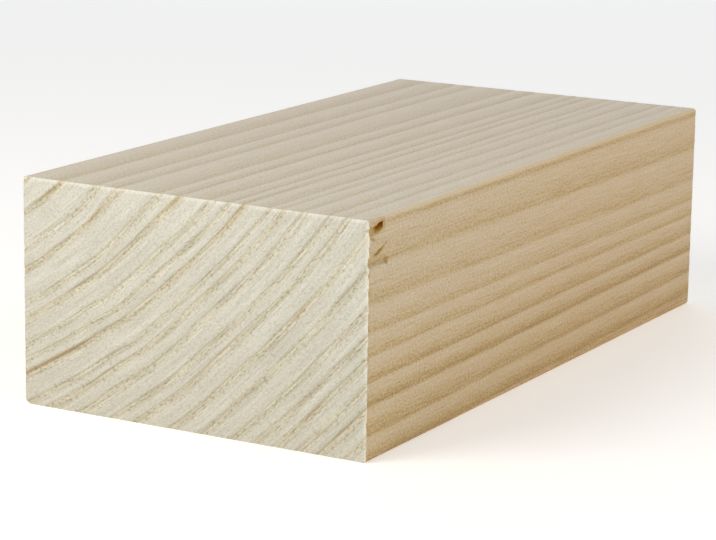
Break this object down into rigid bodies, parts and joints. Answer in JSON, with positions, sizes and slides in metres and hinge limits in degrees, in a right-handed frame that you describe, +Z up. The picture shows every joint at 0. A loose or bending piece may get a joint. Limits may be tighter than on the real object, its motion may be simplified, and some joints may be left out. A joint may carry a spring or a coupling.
{
  "type": "timber plank",
  "caption": "Short planed softwood plank of rectangular section with crisp eased arrises, square sawn ends and a splintered corner, as stock for framing, packing or joinery.",
  "frame": {"origin": "middle of the underside, on the floor that the plank lies on", "axes": "+Y along the length and the grain, away from the end with the splintered arris; +X across the width, to the side with the splintered arris; +Z up through the thickness"},
  "size_m": [0.098, 0.193, 0.058],
  "materials": {
    "planed_softwood": "matte"
  },
  "bodies": {
    "root": {"plank": "planed_softwood"}
  },
  "joints": []
}
